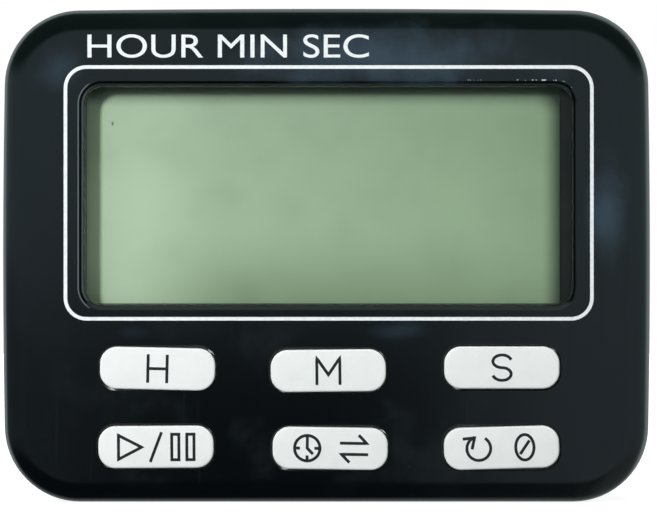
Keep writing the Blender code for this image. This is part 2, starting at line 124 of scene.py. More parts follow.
# Back
CASE_SCREWS = ((-35.2, 54.2), (35.2, 54.2), (-34.5, 8.0), (34.5, 8.0))
SCREW_SEAT = 15.0
BAY_HALF, BAY_FOOT, BAY_TOP, BAY_FLOOR = 25.5, 47.8, 59.0, 7.6
DOOR_HALF, DOOR_FOOT, DOOR_UNDERSIDE = 26.3, 46.5, 18.6
DOOR_GAP = 0.2
STAND_HALF, STAND_FOOT, STAND_AXIS_Z, STAND_AXIS_DEPTH = 12.8, 4.9, 29.5, 18.3
STAND_GAP = 0.4
STAND_RIBS = (-5.2, 0.0, 5.2)
BUZZER = (-26.0, 21.0)
MAGNETS = {"left": (-28.0, 38.5), "right": (28.0, 38.5)}
MAGNET_RADIUS = 6.0

# Camera
CAMERA_X, CAMERA_Z = 0.25, 31.14
CAMERA_DISTANCE = 400.0
CAMERA_LENS = 173.8

ALONG_DEPTH = Matrix.Rotation(-math.pi / 2, 4, "X")
ALONG_X = Matrix.Rotation(math.pi / 2, 4, "Y")
SMOOTH_BELOW = math.radians(32)


# Shapes


def at(x, depth, z):
    """A point of the timer, in metres."""
    return Vector((x, FACE_Y + depth, z)) * MM


def outline(low, high, corner, arc=12, crown=(0.0, 0.0, 0.0, 0.0), side=1):
    """Points round a rectangle with round corners, anticlockwise from the right.
    Each side has `side` steps. It bulges out to the rectangle from corners drawn in by its crown, which is
    given for the top, left, bottom and right."""
    top, left, bottom, right = crown
    x0, x1 = low[0] + left + corner, high[0] - right - corner
    z0, z1 = low[1] + bottom + corner, high[1] - top - corner
    places = [Vector(p) for p in ((x1, z1), (x0, z1), (x0, z0), (x1, z0))]
    points = []
    for number, place in enumerate(places):
        for step in range(arc + 1):
            angle = math.pi / 2 * (number + step / arc)
            points.append(place + corner * Vector((math.cos(angle), math.sin(angle))))
        outward = Vector((math.cos(angle), math.sin(angle)))
        for step in range(1, side):
            share = step / side
            reach = corner + crown[number] * 4 * share * (1 - share)
            points.append(place.lerp(places[(number + 1) % 4], share) + outward * reach)
    return points


def case_outline(inset):
    """The case's outline from the front, drawn in by the inset."""
    crown = (CROWN, CROWN, 0.0, CROWN)
    low, high = (-WIDTH / 2 + inset, inset), (WIDTH / 2 - inset, HEIGHT - inset)
    return outline(low, high, CORNER - inset, 16, crown, 12)


def box_outline(centre, half, corner, outset=0.0, arc=10):
    low = (centre[0] - half[0] - outset, centre[1] - half[1] - outset)
    high = (centre[0] + half[0] + outset, centre[1] + half[1] + outset)
    return outline(low, high, corner + outset, arc)


def quarter(radius, steps, start=0.0):
    """(inset, depth) along a quarter round, from the face, where the inset is the radius, to the side."""
    turns = [start + (math.pi / 2 - start) * i / steps for i in range(steps + 1)]
    return [(radius * (1 - math.sin(t)), radius * (1 - math.cos(t))) for t in turns]


def new_object(name, bm):
    bmesh.ops.recalc_face_normals(bm, faces=bm.faces)
    mesh = bpy.data.meshes.new(name)
    bm.to_mesh(mesh)
    bm.free()
    obj = bpy.data.objects.new(name, mesh)
    bpy.context.scene.collection.objects.link(obj)
    return obj


def loft(name, rings, wrap=False):
    """A solid through rings of (depth, points), capped at its ends or, with wrap, joined into a hoop."""
    bm = bmesh.new()
    loops = [[bm.verts.new(at(x, depth, z)) for x, z in points] for depth, points in rings]
    for a, b in zip(loops, loops[1:] + loops[:1] if wrap else loops[1:]):
        for i in range(len(a)):
            bm.faces.new((a[i - 1], a[i], b[i], b[i - 1]))
    if not wrap:
        bm.faces.new(loops[0])
        bm.faces.new(loops[-1])
    return new_object(name, bm)


def plate(name, centre, half, depth, corner, front=0.0, back=0.0, arc=10, steps=4):
    """A plate with round corners and, at its front and back, rounded edges."""
    rings = [(depth[0] + d, -i) for i, d in quarter(front, steps)] if front else [(depth[0], 0.0)]
    rings += [(depth[1] - d, -i) for i, d in reversed(quarter(back, steps))] if back else [(depth[1], 0.0)]
    return loft(name, [(d, box_outline(centre, half, corner, o, arc)) for d, o in rings])


def block(name, x, depth, z, soft=0.0):
    """A box between two values of x, of depth and of z, whose edges may be softened."""
    bm = bmesh.new()
    bmesh.ops.create_cube(bm, size=1.0)
    low, high = at(x[0], depth[0], z[0]), at(x[1], depth[1], z[1])
    bmesh.ops.scale(bm, vec=high - low, verts=bm.verts)
    bmesh.ops.translate(bm, vec=(low + high) / 2, verts=bm.verts)
    if soft:
        bmesh.ops.bevel(bm, geom=bm.edges, offset=soft * MM, segments=3, profile=0.5, affect="EDGES")
    return new_object(name, bm)


def flared_hole(name, centre, half, corner, rim, end):
    """A cutter from the face inwards that leaves a rounded rim round the opening."""
    edge = quarter(rim, 6, math.radians(14))
    rings = [(-1.0, edge[0][0])] + [(d, o) for o, d in edge] + [(end, 0.0)]
    return loft(name, [(d, box_outline(centre, half, corner, o, 12)) for d, o in rings])


def turned(name, profile, origin, turn, steps=32):
    """A solid turned from (radius, height) pairs, which run from its top to its foot on its axis."""
    bm = bmesh.new()
    rings = []
    for radius, height in profile:
        count = steps if radius else 1
        angles = [2 * math.pi * i / steps for i in range(count)]
        ring = [Vector((radius * math.cos(a), radius * math.sin(a), height)) * MM for a in angles]
        rings.append([bm.verts.new(origin + turn @ p) for p in ring])
    for a, b in zip(rings, rings[1:]):
        for i in range(steps):
            upper = (a[i - 1 if len(a) > 1 else 0], a[i % len(a)])
            lower = (b[i % len(b)], b[i - 1 if len(b) > 1 else 0])
            bm.faces.new(tuple(dict.fromkeys(upper + lower)))
    return new_object(name, bm)


def post(name, place, depth, radius, steps=32):
    """A rod along the depth at place, an (x, z) pair."""
    length = depth[1] - depth[0]
    profile = ((0.0, length), (radius, length), (radius, 0.0), (0.0, 0.0))
    return turned(name, profile, at(place[0], depth[0], place[1]), ALONG_DEPTH, steps)


def rod_along_x(name, reach, depth, z, radius, soft=0.0, steps=32):
    """A rod along X that reaches as far on both sides, with softened ends."""
    length = 2 * reach
    edge = quarter(soft, 3) if soft else [(0.0, 0.0)]
    ends = [(radius - inset, length - rise) for inset, rise in edge]
    feet = [(r, length - h) for r, h in reversed(ends)]
    profile = ((0.0, length), *ends, *feet, (0.0, 0.0))
    return turned(name, profile, at(-reach, depth, z), ALONG_X, steps)


def combine(obj, operation, tools):
    """Adds or cuts each tool, applies the result and removes the tools."""
    for tool in tools:
        modifier = obj.modifiers.new(tool.name, "BOOLEAN")
        modifier.operation = operation
        modifier.object = tool
    settle(obj)
    for tool in tools:
        bpy.data.objects.remove(tool)


def settle(obj):
    """Applies the modifiers of obj."""
    bpy.context.view_layer.update()
    graph = bpy.context.evaluated_depsgraph_get()
    mesh = bpy.data.meshes.new_from_object(obj.evaluated_get(graph))
    obj.modifiers.clear()
    obj.data = mesh


def join(obj, *tools):
    combine(obj, "UNION", tools)


def cut(obj, *tools):
    combine(obj, "DIFFERENCE", tools)


def soft_shading(obj):
    """Smooth shading that keeps flat faces flat and true edges sharp."""
    obj.data.shade_smooth()
    obj.data.set_sharp_from_angle(angle=SMOOTH_BELOW)
    weighted = obj.modifiers.new("flat faces", "WEIGHTED_NORMAL")
    weighted.keep_sharp = True


def dress(obj, body, slot, material, *replaced):
    """Gives a new piece its shading, its body, its finish and the CAD nodes that it stands for."""
    soft_shading(obj)
    obj.data.materials.clear()
    obj.data.materials.append(material)
    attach(obj, body)
    if replaced:
        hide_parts(*replaced)


# Materials


class Look:
    """A material under construction. Its maps are in object space, which for any piece is the CAD's frame."""

    def __init__(self, name, colour, roughness, **uniform):
        self.material = bpy.data.materials.new(name)
        self.material.use_nodes = True
        self.tree = self.material.node_tree
        self.shader = self.tree.nodes["Principled BSDF"]
        self.set(self.shader, {"Base Color": (*colour, 1.0), "Roughness": roughness})
        self.set(self.shader, {key.replace("_", " "): value for key, value in uniform.items()})

    @classmethod
    def on(cls, tree):
        """Works on a node tree that has no Principled shader."""
        look = cls.__new__(cls)
        look.tree = tree
        return look

    def set(self, node, inputs):
        for key, value in inputs.items():
            if isinstance(value, bpy.types.NodeSocket):
                self.tree.links.new(value, node.inputs[key])
            else:
                node.inputs[key].default_value = value

    def add(self, kind, inputs, **settings):
        node = self.tree.nodes.new("ShaderNode" + kind)
        for key, value in settings.items():
            setattr(node, key, value)
        self.set(node, inputs)
        return node

    def place(self, stretch=(1.0, 1.0, 1.0), turn=(0.0, 0.0, 0.0)):
        """Object coordinates in millimetres, turned and stretched."""
        where = self.add("TexCoord", {}).outputs["Object"]
        scale = tuple(s / MM for s in stretch)
        return self.add("Mapping", {"Vector": where, "Rotation": turn, "Scale": scale}).outputs["Vector"]

    def noise(self, size, detail=3.0, rough=0.55, **placing):
        """Values about 0.5 that vary over `size` millimetres."""
        inputs = {"Vector": self.place(**placing), "Scale": 1 / size, "Detail": detail, "Roughness": rough}
        return self.add("TexNoise", inputs).outputs["Fac"]

    def specks(self, spacing, radius):
        """1 inside dots scattered at about that spacing, 0 elsewhere."""
        inputs = {"Vector": self.place(), "Scale": 1 / spacing, "Randomness": 1.0}
        distance = self.add("TexVoronoi", inputs).outputs["Distance"]
        return self.span(distance, (radius / spacing, 0.6 * radius / spacing), (0.0, 1.0))

    def spot(self, x, z, width, height):
        """1 at a point of the face, falling to 0 at the edge of an ellipse about it, and broken up."""
        low = (x - width / 2, 0.0, z - height / 2)
        where = self.add("VectorMath", {0: self.place(), 1: low}, operation="SUBTRACT").outputs[0]
        size = (2 / width, 0.0, 2 / height)
        where = self.add("VectorMath", {0: where, 1: size, 2: (-1.0, 0.0, -1.0)}, operation="MULTIPLY_ADD")
        reach = self.add("VectorMath", {0: where.outputs[0]}, operation="LENGTH").outputs["Value"]
        ragged = self.math(reach, self.span(self.noise(7.0, 4.0, 0.55), (0.2, 0.8), (-0.35, 0.35)))
        return self.span(ragged, (1.0, 0.0), (0.0, 1.0))

    def outside(self, centre, half, corner):
        """Signed distance in millimetres from a rectangle with round corners, in the plane of the face."""
        middle = (centre[0], 0.0, centre[1])
        where = self.add("VectorMath", {0: self.place(), 1: middle}, operation="SUBTRACT").outputs[0]
        where = self.add("VectorMath", {0: where, 1: (1.0, 0.0, 1.0)}, operation="MULTIPLY").outputs[0]
        where = self.add("VectorMath", {0: where}, operation="ABSOLUTE").outputs[0]
        straight = (half[0] - corner, 0.0, half[1] - corner)
        past = self.add("VectorMath", {0: where, 1: straight}, operation="SUBTRACT").outputs[0]
        beyond = self.add("VectorMath", {0: past, 1: (0.0, 0.0, 0.0)}, operation="MAXIMUM").outputs[0]
        length = self.add("VectorMath", {0: beyond}, operation="LENGTH").outputs["Value"]
        part = self.add("SeparateXYZ", {"Vector": past}).outputs
        within = self.math(self.math(part["X"], part["Z"], "MAXIMUM"), 0.0, "MINIMUM")
        return self.math(self.math(length, within), -corner)

    def ring(self, distance, middle, reach):
        """1 where a distance is near its middle value, and 0 beyond its reach."""
        off = self.math(self.math(distance, -middle), 0.0, "ABSOLUTE")
        return self.span(off, (reach, reach / 3), (0.0, 1.0))

    def span(self, value, source, target, smooth=True):
        """value's source range turned into the target range, and held inside it."""
        kind = "SMOOTHSTEP" if smooth else "LINEAR"
        inputs = {"Value": value, "From Min": source[0], "From Max": source[1]}
        inputs |= {"To Min": target[0], "To Max": target[1]}
        return self.add("MapRange", inputs, interpolation_type=kind, clamp=True).outputs["Result"]

    def math(self, a, b, operation="ADD"):
        node = self.add("Math", {}, operation=operation)
        for socket, value in zip(node.inputs, (a, b)):
            if isinstance(value, bpy.types.NodeSocket):
                self.tree.links.new(value, socket)
            else:
                socket.default_value = value
        return node.outputs[0]

    def blend(self, share, colour, other):
        """colour where share is 0 and other where it is 1. Each is a colour or a socket."""
        node = self.add("Mix", {}, data_type="RGBA")
        for socket, value in zip((node.inputs[0], node.inputs[6], node.inputs[7]), (share, colour, other)):
            if isinstance(value, bpy.types.NodeSocket):
                self.tree.links.new(value, socket)
            else:
                socket.default_value = (*value, 1.0)
        return node.outputs[2]

    def relief(self, height, depth, under=None):
        """A bump of `depth` millimetres, over another one."""
        inputs = {"Height": height, "Distance": depth * MM, "Strength": 1.0}
        if under:
            inputs["Normal"] = under
        return self.add("Bump", inputs).outputs["Normal"]

    def finish(self, **inputs):
        self.set(self.shader, {key.replace("_", " "): value for key, value in inputs.items()})
        return self.material


LIGHTER_PATCHES = (  # lighter bluish patches on the face: x, z, width, height and how far they hide the black
    (8.5, 56.0, 52.0, 10.5, 0.85),
    (35.3, 37.5, 7.0, 16.0, 0.8),
    (-34.0, 54.3, 9.0, 8.0, 0.5),
    (9.0, 21.8, 12.0, 3.0, 0.3),
    (-24.5, 21.6, 5.0, 2.0, 0.14),
)


def window_edge(look, colour):
    """Painted highlight lines, a painted reflection of the display, a painted reflection along the foot and
    painted glints on the window's rounded edge, and the mask of the groove beside them, whose reflection is
    turned down so it stays dark.
    """
    edge = look.outside(WINDOW, WINDOW_HALF, WINDOW_CORNER)
    part = look.add("SeparateXYZ", {"Vector": look.place()}).outputs
    left = look.span(part["X"], (-29.6, -30.4), (0.0, 1.0))
    right = look.span(part["X"], (30.6, 31.2), (0.0, 1.0))
    foot = look.span(part["Z"], (25.6, 25.0), (0.0, 1.0))
    upper = look.math(look.span(part["Z"], (51.6, 52.4), (0.0, 1.0)), left, "MAXIMUM")
    lip = look.math(look.span(left, (0.0, 1.0), (0.35, 1.0)), upper, "MULTIPLY")
    # Painted reflection of the display: a greenish line near the rim's inner edge, full on the left and faint
    # along the top.
    inner = look.math(look.ring(edge, 0.28, 0.16), lip, "MULTIPLY")
    colour = look.blend(inner, colour, (0.062, 0.08, 0.076))
    # Painted highlight: a light line along the rim's outer edge on the left side.
    painted_highlight_line = look.math(look.ring(edge, 0.84, 0.12), left, "MULTIPLY")
    colour = look.blend(painted_highlight_line, colour, (0.1, 0.12, 0.125))
    # Painted reflection: a grey band on the rim along the window's foot.
    painted_foot_reflection = look.math(look.ring(edge, 0.4, 0.36), look.math(foot, 0.8, "MULTIPLY"), "MULTIPLY")
    colour = look.blend(painted_foot_reflection, colour, (0.026, 0.03, 0.033))
    # Painted glints: light specks along the rim's outer edge, on the right part of the top.
    painted_glints = look.span(look.noise(1.1, 3.0, 0.7), (0.52, 0.6), (0.0, 1.0))
    painted_glints = look.math(painted_glints, look.math(look.ring(edge, 0.84, 0.11), upper, "MULTIPLY"), "MULTIPLY")
    painted_glints = look.math(painted_glints, look.span(part["X"], (16.0, 19.0), (0.0, 1.0)), "MULTIPLY")
    colour = look.blend(painted_glints, colour, (0.55, 0.58, 0.58))
    groove = look.math(look.ring(edge, 0.6, 0.2), look.math(upper, right, "SUBTRACT"), "MULTIPLY")
    beside = look.math(look.ring(edge, 0.28, 0.18), right, "MULTIPLY")
    return colour, look.math(groove, beside, "MAXIMUM")


def polished_black():
    """Glossy black styrene: wiped haze, hairline scratches, dust, and painted highlights, painted reflections
    and painted glints on the window's edge.
    """
    look = Look("polished_black", (0.0012, 0.0017, 0.0021), 0.13, IOR=1.5)
    haze = look.span(look.noise(11.0, 4.0, 0.6), (0.45, 0.75), (0.0, 1.0))
    hairs = look.noise(0.9, 2.0, 0.5, stretch=(1.0, 1.0, 0.04), turn=(0.0, 0.6, 0.0))
    hairs = look.span(hairs, (0.66, 0.72), (0.0, 1.0))
    dust = look.specks(5.5, 0.07)
    colour = look.blend(haze, (0.0010, 0.0014, 0.0018), (0.0022, 0.0032, 0.0036))
    for x, z, width, height, share in LIGHTER_PATCHES:
        # Lighter bluish patches on the face.
        lighter_patch = look.math(look.spot(x, z, width, height), share, "MULTIPLY")
        colour = look.blend(lighter_patch, colour, (0.030, 0.052, 0.075))
    colour, groove = window_edge(look, colour)
    colour = look.blend(dust, colour, (0.22, 0.23, 0.23))
    scratched = look.span(hairs, (0.0, 1.0), (0.0, 0.06))
    roughness = look.math(look.span(haze, (0.0, 1.0), (0.11, 0.19)), scratched)
    waves = look.relief(look.noise(16.0, 1.0), 0.012)
    return look.finish(
        Base_Color=colour,
        Roughness=roughness,
        Specular_IOR_Level=look.span(groove, (0.0, 1.0), (0.5, 0.05)),
        Normal=look.relief(hairs, 0.0006, waves),
    )


def satin_black():
    """The same plastic off a spark-eroded tool: a fine matt grain, rubbed brighter in places."""
    look = Look("satin_black", (0.008, 0.009, 0.0095), 0.36, IOR=1.5)
    rubbed = look.span(look.noise(9.0, 4.0, 0.65), (0.4, 0.7), (0.0, 1.0))
    grain = look.noise(0.16, 2.0, 0.6)
    scuffs = look.span(look.noise(1.4, 2.0, 0.5, stretch=(0.05, 1.0, 1.0)), (0.67, 0.73), (0.0, 1.0))
    colour = look.blend(rubbed, (0.0075, 0.0085, 0.009), (0.013, 0.0145, 0.015))
    colour = look.blend(look.span(scuffs, (0.0, 1.0), (0.0, 0.3)), colour, (0.05, 0.052, 0.053))
    roughness = look.span(rubbed, (0.0, 1.0), (0.4, 0.3))
    bump = look.relief(grain, 0.006, look.relief(look.noise(20.0, 1.0), 0.02))
    return look.finish(Base_Color=colour, Roughness=roughness, Normal=bump)


def cap_white():
    """White keycap plastic with a soft mottle and a faint grey film of handling."""
    look = Look("cap_white", (0.86, 0.87, 0.85), 0.34, IOR=1.5)
    mottle = look.span(look.noise(3.2, 3.0), (0.35, 0.7), (0.0, 1.0))
    film = look.span(look.noise(0.7, 4.0, 0.7), (0.55, 0.8), (0.0, 0.25))
    colour = look.blend(mottle, (0.87, 0.885, 0.87), (0.835, 0.85, 0.83))
    colour = look.blend(film, colour, (0.74, 0.75, 0.73))
    roughness = look.span(mottle, (0.0, 1.0), (0.3, 0.42))
    grain = look.relief(look.noise(0.35, 2.0), 0.003)
    return look.finish(Base_Color=colour, Roughness=roughness, Normal=grain)


def ink(name, colour, thin):
    """Pad-printed ink: a little uneven in its cover."""
    look = Look(name, colour, 0.42)
    cover = look.span(look.noise(0.5, 4.0, 0.7), (0.4, 0.85), (0.0, 1.0))
    return look.finish(
        Base_Color=look.blend(cover, colour, thin),
        Roughness=look.span(cover, (0.0, 1.0), (0.36, 0.5)),
        Normal=look.relief(look.noise(0.12, 2.0), 0.002),
    )


def see_through(name, tint, haze_tint, ior, gloss=0.04):
    """A clear sheet that lets light and shadow pass, with a reflection that grows towards grazing angles.
    An inner sheet lies against its neighbours, so its ior is low."""
    material = bpy.data.materials.new(name)
    material.use_nodes = True
    tree = material.node_tree
    tree.nodes.remove(tree.nodes["Principled BSDF"])
    look = Look.on(tree)
    haze = look.span(look.noise(7.0, 4.0, 0.6), (0.4, 0.8), (0.0, 1.0))
    scratches = look.noise(0.8, 2.0, 0.5, stretch=(1.0, 1.0, 0.05), turn=(0.0, -0.9, 0.0))
    scratches = look.span(scratches, (0.68, 0.74), (0.0, 1.0))
    clear = look.add("BsdfTransparent", {"Color": look.blend(haze, tint, haze_tint)})
    bump = look.relief(scratches, 0.0004, look.relief(look.noise(14.0, 1.0), 0.01))
    roughness = look.span(haze, (0.0, 1.0), (gloss, 2 * gloss))
    shine = look.add("BsdfGlossy", {"Color": (1.0, 1.0, 1.0, 1.0), "Roughness": roughness, "Normal": bump})
    share = look.add("Fresnel", {"IOR": ior, "Normal": bump}).outputs[0]
    front = look.span(look.add("NewGeometry", {}).outputs["Backfacing"], (0.0, 1.0), (1.0, 0.0))
    mixed = look.add("MixShader", {})
    tree.links.new(look.math(share, front, "MULTIPLY"), mixed.inputs[0])
    tree.links.new(clear.outputs[0], mixed.inputs[1])
    tree.links.new(shine.outputs[0], mixed.inputs[2])
    tree.links.new(mixed.outputs[0], tree.nodes["Material Output"].inputs["Surface"])
    return material


def display_reflector():
    """The grey-green reflector behind the display. Painted light falls off from its left to its right, painted
    shade darkens its foot, its edges and its top-left corner, and painted fill light brightens a strip at its
    left edge."""
    look = Look("display_reflector", (0.45, 0.6, 0.42), 0.5)
    part = look.add("SeparateXYZ", {"Vector": look.place()}).outputs
    # Painted light: the display is brightest at its left and falls off towards its right.
    across = look.span(part["X"], (-20.0, 28.0), (0.0, 1.0), smooth=False)
    colour = look.blend(across, (0.51, 0.595, 0.50), (0.385, 0.48, 0.37))
    near = look.span(part["X"], (-24.0, -14.0), (1.0, 0.0))
    colour = look.blend(near, colour, (0.60, 0.69, 0.59))
    cloud = look.span(look.noise(14.0, 2.0), (0.35, 0.7), (0.0, 0.12))
    colour = look.blend(cloud, colour, (0.57, 0.66, 0.59))
    # Painted shade: the display darkens towards its foot, most in the middle and least at its left.
    foot = look.span(part["Z"], (36.0, 25.5), (0.0, 0.62))
    foot = look.math(foot, look.span(part["X"], (-27.5, -9.0), (0.0, 1.0)), "MULTIPLY")
    foot = look.math(foot, look.span(part["X"], (4.0, 28.0), (1.0, 0.45)), "MULTIPLY")
    colour = look.blend(foot, colour, (0.27, 0.335, 0.245))
    # Painted shade: the display darkens towards its edges.
    low = Vector((film_low.x - 4.0, film_low.z - 5.0))
    high = Vector((film_high.x + 0.75, film_high.z - 0.85))
    painted_edge_shade = look.outside((low + high) / 2, (high - low) / 2, 4.0)
    colour = look.blend(look.span(painted_edge_shade, (-3.2, -0.2), (0.0, 0.95)), colour, (0.02, 0.03, 0.02))
    # Painted fill light: a brighter strip along the display's left edge, inside the shadow of the window's
    # rim.
    painted_fill_light = look.span(part["X"], (-28.9, -28.3), (1.0, 0.0))
    painted_fill_light = look.math(painted_fill_light, look.span(part["Z"], (51.5, 48.0), (0.0, 1.0)), "MULTIPLY")
    colour = look.blend(painted_fill_light, colour, (0.66, 0.79, 0.62))
    # Painted shadow in the display's top-left corner, below the window's rim.
    corner = look.math(look.spot(-29.8, 52.2, 5.5, 4.0), 0.85, "MULTIPLY")
    colour = look.blend(corner, colour, (0.02, 0.03, 0.02))
    crumb = look.spot(-27.3, 48.1, 0.5, 0.9)
    colour = look.blend(crumb, colour, (0.1, 0.13, 0.09))
    mark = look.specks(33.0, 0.16)
    colour = look.blend(mark, colour, (0.12, 0.15, 0.1))
    return look.finish(Base_Color=colour, Normal=look.relief(look.noise(0.06, 2.0, 0.6), 0.0015))


def plain(name, colour, other, roughness, size, grain, metal=0.0):
    """A moulded, plated or coated surface: two tones over `size` millimetres and a fine grain."""
    look = Look(name, colour, sum(roughness) / 2, Metallic=metal)
    tone = look.span(look.noise(size, 4.0, 0.6), (0.35, 0.7), (0.0, 1.0))
    return look.finish(
        Base_Color=look.blend(tone, colour, other),
        Roughness=look.span(look.noise(size / 2, 3.0), (0.3, 0.7), roughness),
        Normal=look.relief(look.noise(grain, 2.0), grain / 30),
    )


def cell_jacket():
    """A printed battery jacket: a light band and a dark body, between bare steel ends."""
    look = Look("cell_jacket", (0.1, 0.2, 0.35), 0.3)
    spot = look.add("SeparateXYZ", {"Vector": look.place()})
    low, high = (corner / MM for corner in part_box("battery_cell"))
    band = look.span(spot.outputs["X"], (high.x - 13.0, high.x - 12.9), (0.0, 1.0))
    steel = look.math(
        look.span(spot.outputs["X"], (high.x - 1.9, high.x - 1.8), (0.0, 1.0)),
        look.span(spot.outputs["X"], (low.x + 0.9, low.x + 0.8), (0.0, 1.0)),
    )
    print_wear = look.span(look.noise(1.5, 4.0, 0.7), (0.6, 0.8), (0.0, 0.3))
    colour = look.blend(band, (0.03, 0.12, 0.08), (0.72, 0.74, 0.7))
    colour = look.blend(print_wear, colour, (0.4, 0.42, 0.4))
    colour = look.blend(steel, colour, (0.62, 0.62, 0.6))
    return look.finish(Base_Color=colour, Metallic=steel, Normal=look.relief(look.noise(2.0, 2.0), 0.01))


# Shells


def cap_hole(name):
    """A cutter for the hole that a cap sits in."""
    half = (CAP_HALF[0] + CAP_GAP, CAP_HALF[1] + CAP_GAP)
    return flared_hole(f"hole_{name}", cap_centre(name), half, CAP_CORNER + CAP_GAP, HOLE_RIM, WALL + 0.5)


def front_shell(material):
    """A cup with a rounded rim and a locating lip, pierced for the window and the six caps."""
    inside = [(WALL + d, WALL + i) for i, d in quarter(RIM - WALL, 4)]
    edge = [(FRONT_EDGE - d, i) for i, d in quarter(SEAM_SOFT, 3)]
    outside = [(d, i) for i, d in reversed(quarter(RIM, 12))]
    lip_room = (LIP_EDGE, WALL - 0.05)
    rings = [*inside, lip_room, (LIP_EDGE, LIP_INSET), (FRONT_EDGE, LIP_INSET), *edge, *outside]
    shell = loft("front_shell", [(depth, case_outline(inset)) for depth, inset in rings])
    bosses = [post(f"boss_{i}", p, (FRONT_SKIN, SCREW_SEAT - 2.4), 2.4) for i, p in enumerate(CASE_SCREWS)]
    posts = [post(f"post_{i}", p, (FRONT_SKIN, BOARD_SEAT), 2.0) for i, p in enumerate(BOARD_POSTS)]
    ribs = [block(f"rib_{s}", (s * 15 - 6, s * 15 + 6), (FRONT_SKIN, 6.0), (55.6, 56.4)) for s in (-1, 1)]
    join(shell, *bosses, *posts, *ribs, block("rib_below", (-29, 29), (FRONT_SKIN, 5.0), (20.72, 21.3)))
    holes = [flared_hole("window", WINDOW, WINDOW_HALF, WINDOW_CORNER, WINDOW_RIM, WALL + 0.5)]
    holes += [cap_hole(name) for name in TWIST]
    holes += [post(f"screw_hole_{i}", p, (5.0, THICKNESS), 1.15) for i, p in enumerate(CASE_SCREWS)]
    holes += [post(f"post_hole_{i}", p, (3.6, 9.0), 0.95) for i, p in enumerate(BOARD_POSTS)]
    cut(shell, *holes)
    dress(shell, "case", "case_black", material, "front_case")


def case_solid(name, start):
    """The outer form of the case from a depth to its back, with the back rim rounded."""
    back = [(THICKNESS - d, i) for i, d in reversed(quarter(RIM, 12))]
    return loft(name, [(depth, case_outline(inset)) for depth, inset in [(start, 0.0), *back]])


def battery_bay(shell):
    """The walls round the cell, and the opening and grooves that the door slides in."""
    tub = BAY_HALF + 1.2
    join(
        shell,
        block("bay_tub", (-tub, tub), (BAY_FLOOR - 0.9, BACK_SKIN), (BAY_FOOT - 1.2, BAY_TOP + 1.2)),
        block("bay_roof", (-tub, tub), (12.0, 18.5), (BAY_TOP + 0.5, 61.5)),
        block("door_frame", (-29.6, 29.6), (15.8, BACK_SKIN), (45.1, 61.4)),
    )
    door_room = DOOR_UNDERSIDE - 0.18
    opening = DOOR_HALF + DOOR_GAP
    tools = [
        block("bay", (-BAY_HALF, BAY_HALF), (BAY_FLOOR, BEHIND), (BAY_FOOT, BAY_TOP), 0.4),
        block("door_opening", (-opening, opening), (door_room, BEHIND), (DOOR_FOOT - DOOR_GAP, BEYOND)),
    ]
    for side in (-1, 1):
        groove, slot = sorted((side * 24.6, side * 28.4)), sorted((side * 25.0, side * 28.0))
        tools.append(block(f"groove_{side}", groove, (17.0, door_room + 0.03), (49.7, BEYOND)))
        tools.append(block(f"tab_slot_{side}", slot, (8.6, 9.8), (49.6, 52.4)))
    cut(shell, *tools)


def stand_recess(shell):
    """The recess that the stand folds into, with the trough and the two sockets of its barrel."""
    half = STAND_HALF + STAND_GAP
    join(
        shell,
        block("recess_shell", (-half - 1.4, half + 1.4), (16.4, BACK_SKIN), (2.6, 33.4)),
        block("trough_shell", (-half - 3.0, half + 3.0), (14.8, BACK_SKIN), (25.7, 33.3)),
    )
    foot, top = 4.4, STAND_AXIS_Z + 2.1
    recess = plate("recess", (0.0, (foot + top) / 2), (half, (top - foot) / 2), (17.9, BEHIND), 0.9)
    trough = block("trough", (-half, half), (16.3, 18.4), (STAND_AXIS_Z - 2.2, top))
    cut(shell, recess, trough, rod_along_x("pin_sockets", half + 1.9, STAND_AXIS_DEPTH, STAND_AXIS_Z, 1.0))


def rear_shell(material):
    """The back of the case, with the battery bay, the stand's recess, magnet pockets and sound holes."""
    inner_back = THICKNESS - BACK_WALL
    inside = [(inner_back - d, WALL + i) for i, d in quarter(RIM - WALL, 4)]
    ledge = LIP_EDGE + 0.2
    lip_side = LIP_INSET - LIP_FIT
    edge = [(REAR_EDGE + d, i) for i, d in quarter(SEAM_SOFT, 3)]
    outside = [(THICKNESS - d, i) for i, d in reversed(quarter(RIM, 12))]
    rings = [*inside, (ledge, WALL), (ledge, lip_side), (REAR_EDGE, lip_side), *edge, *outside]
    shell = loft("rear_shell", [(depth, case_outline(inset)) for depth, inset in rings])
    battery_bay(shell)
    stand_recess(shell)
    tools = []
    for side, place in MAGNETS.items():
        join(shell, post(f"pocket_shell_{side}", place, (16.3, BACK_SKIN), MAGNET_RADIUS + 1.6, 48))
        tools.append(post(f"pocket_{side}", place, (17.8, BEHIND), MAGNET_RADIUS + 0.2, 64))
    for i in range(7):
        angle = i * math.pi / 3
        reach = 3.2 if i else 0.0
        place = (BUZZER[0] + reach * math.cos(angle), BUZZER[1] + reach * math.sin(angle))
        tools.append(post(f"sound_hole_{i}", place, (17.5, BEHIND), 0.7, 20))
    boss = (SCREW_SEAT - 2.1, BACK_SKIN)
    join(shell, *[post(f"boss_{i}", p, boss, 3.1) for i, p in enumerate(CASE_SCREWS)])
    tools += [post(f"counterbore_{i}", p, (SCREW_SEAT, BEHIND), 2.1) for i, p in enumerate(CASE_SCREWS)]
    tools += [post(f"screw_hole_{i}", p, (5.0, SCREW_SEAT + 1), 1.15) for i, p in enumerate(CASE_SCREWS)]
    cut(shell, *tools)
    dress(shell, "case", "case_black", material, "rear_case")


